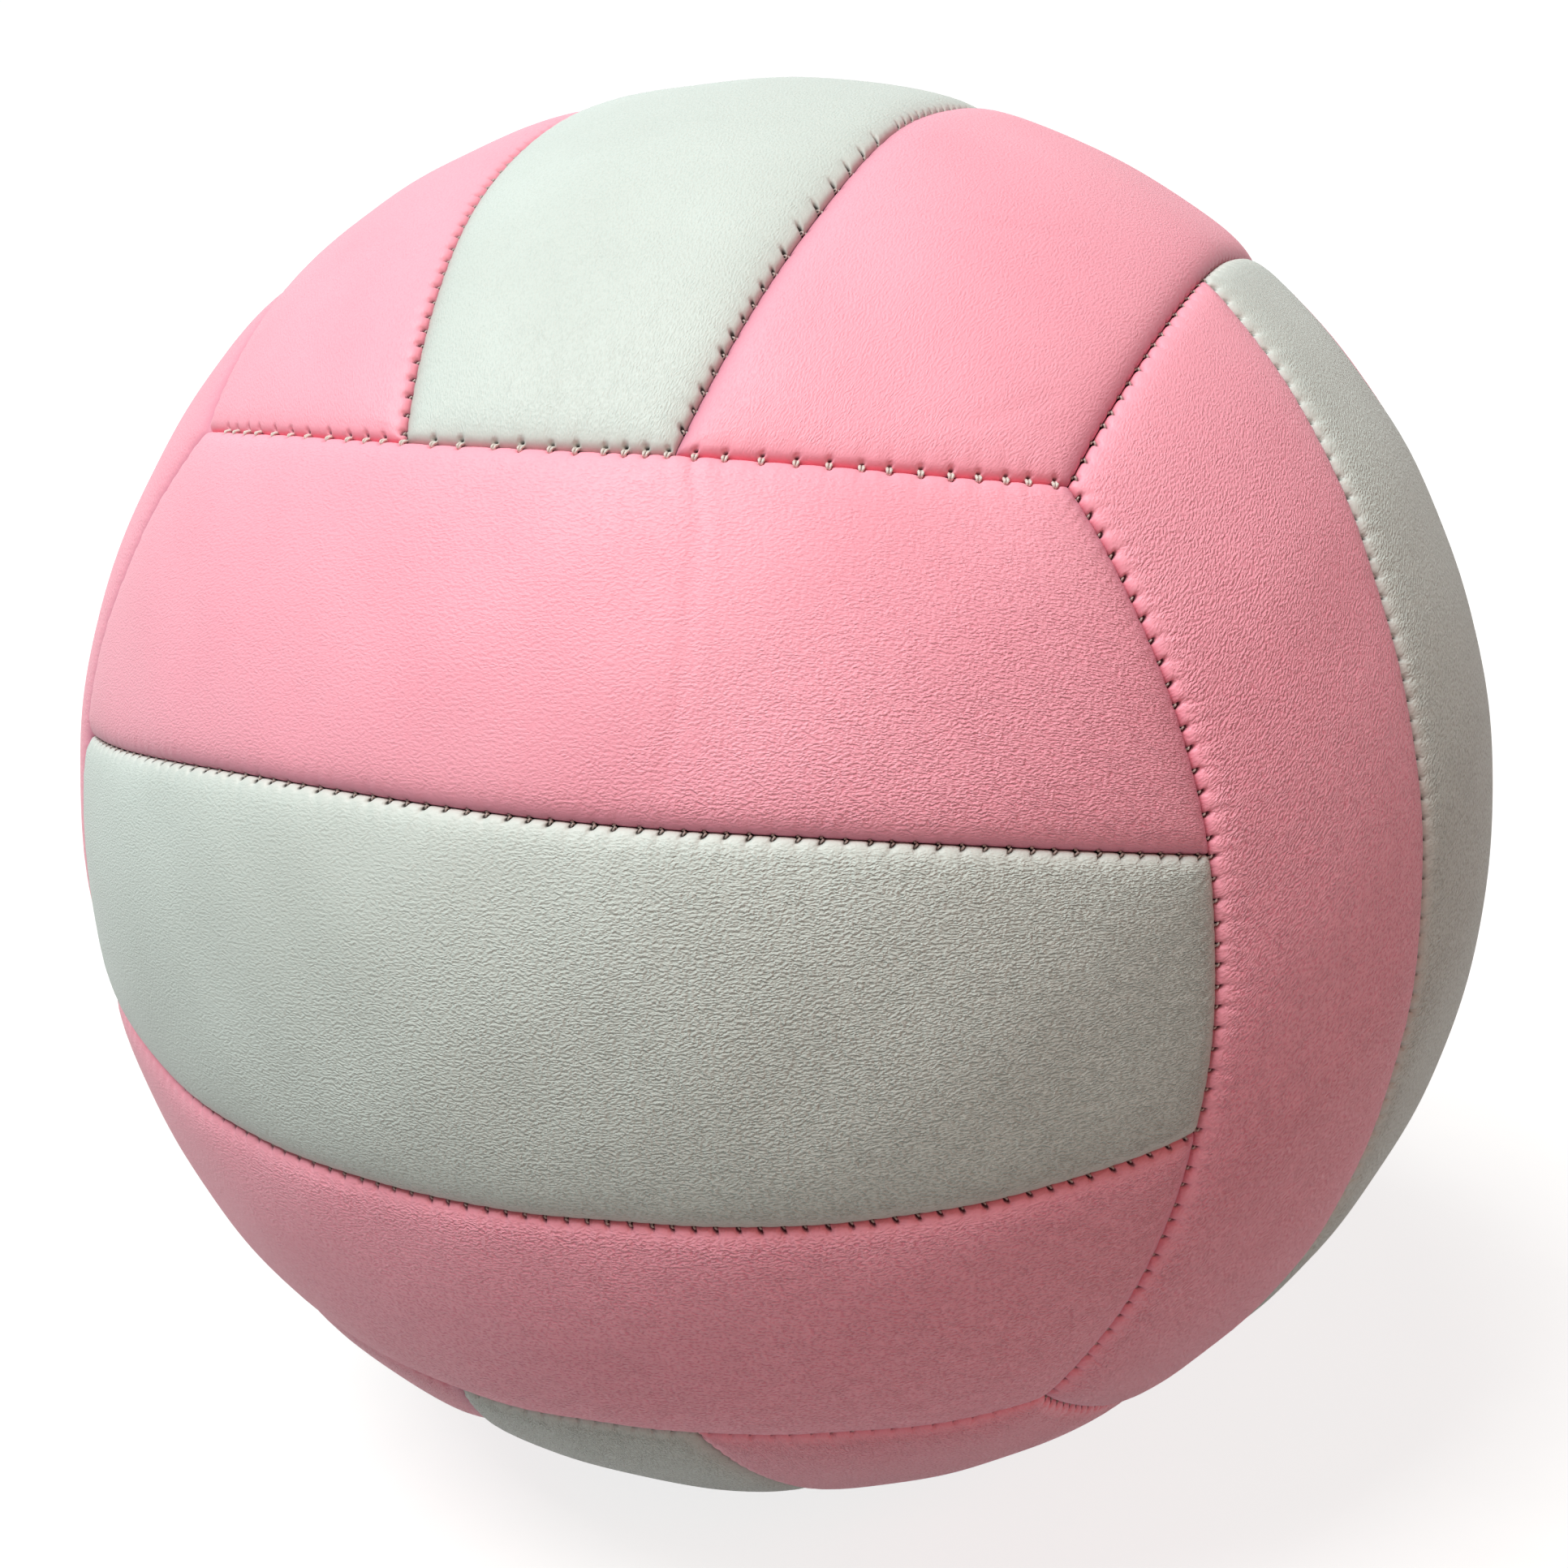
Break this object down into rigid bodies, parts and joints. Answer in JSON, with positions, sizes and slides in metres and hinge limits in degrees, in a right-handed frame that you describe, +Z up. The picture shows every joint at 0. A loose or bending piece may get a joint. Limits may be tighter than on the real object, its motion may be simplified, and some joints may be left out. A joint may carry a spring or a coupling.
{
  "type": "volleyball",
  "caption": "Machine-stitched volleyball: leather strips over foam and cloth lining, round an air bladder with a needle valve.",
  "frame": {"origin": "centre of the ball", "axes": "-Y faces the front group of strips, +Y runs out of the ball through the valve, +X is right and +Z is up"},
  "size_m": [0.21, 0.2099, 0.21],
  "materials": {
    "cover_pink": "fine grain, satin, light pink",
    "cover_white": "fine grain, satin, off-white",
    "foam": "matt, fine closed cells",
    "lining": "plain weave, unbleached",
    "bladder": "smooth, talc-dusted",
    "valve": "smooth, matt",
    "thread": "waxed polyester twist"
  },
  "bodies": {
    "root": {"front_lower_panel": "cover_pink", "front_middle_panel": "cover_white", "front_upper_panel": "cover_pink", "back_lower_panel": "cover_pink", "back_middle_panel": "cover_white", "back_upper_panel": "cover_pink", "right_front_panel": "cover_pink", "right_middle_panel": "cover_white", "right_back_panel": "cover_pink", "left_front_panel": "cover_pink", "left_middle_panel": "cover_white", "left_back_panel": "cover_pink", "top_left_panel": "cover_pink", "top_middle_panel": "cover_white", "top_right_panel": "cover_pink", "bottom_left_panel": "cover_pink", "bottom_middle_panel": "cover_white", "bottom_right_panel": "cover_pink", "front_lower_foam": "foam", "front_middle_foam": "foam", "front_upper_foam": "foam", "back_lower_foam": "foam", "back_middle_foam": "foam", "back_upper_foam": "foam", "right_front_foam": "foam", "right_middle_foam": "foam", "right_back_foam": "foam", "left_front_foam": "foam", "left_middle_foam": "foam", "left_back_foam": "foam", "top_left_foam": "foam", "top_middle_foam": "foam", "top_right_foam": "foam", "bottom_left_foam": "foam", "bottom_middle_foam": "foam", "bottom_right_foam": "foam", "front_lining": "lining", "back_lining": "lining", "right_lining": "lining", "left_lining": "lining", "top_lining": "lining", "bottom_lining": "lining", "front_seam_thread": "thread", "back_seam_thread": "thread", "right_seam_thread": "thread", "left_seam_thread": "thread", "top_seam_thread": "thread", "bottom_seam_thread": "thread", "edge_seam_thread": "thread", "closing_seam_thread": "thread", "bladder": "bladder", "valve_boot": "valve", "valve_plug": "valve"}
  },
  "joints": []
}
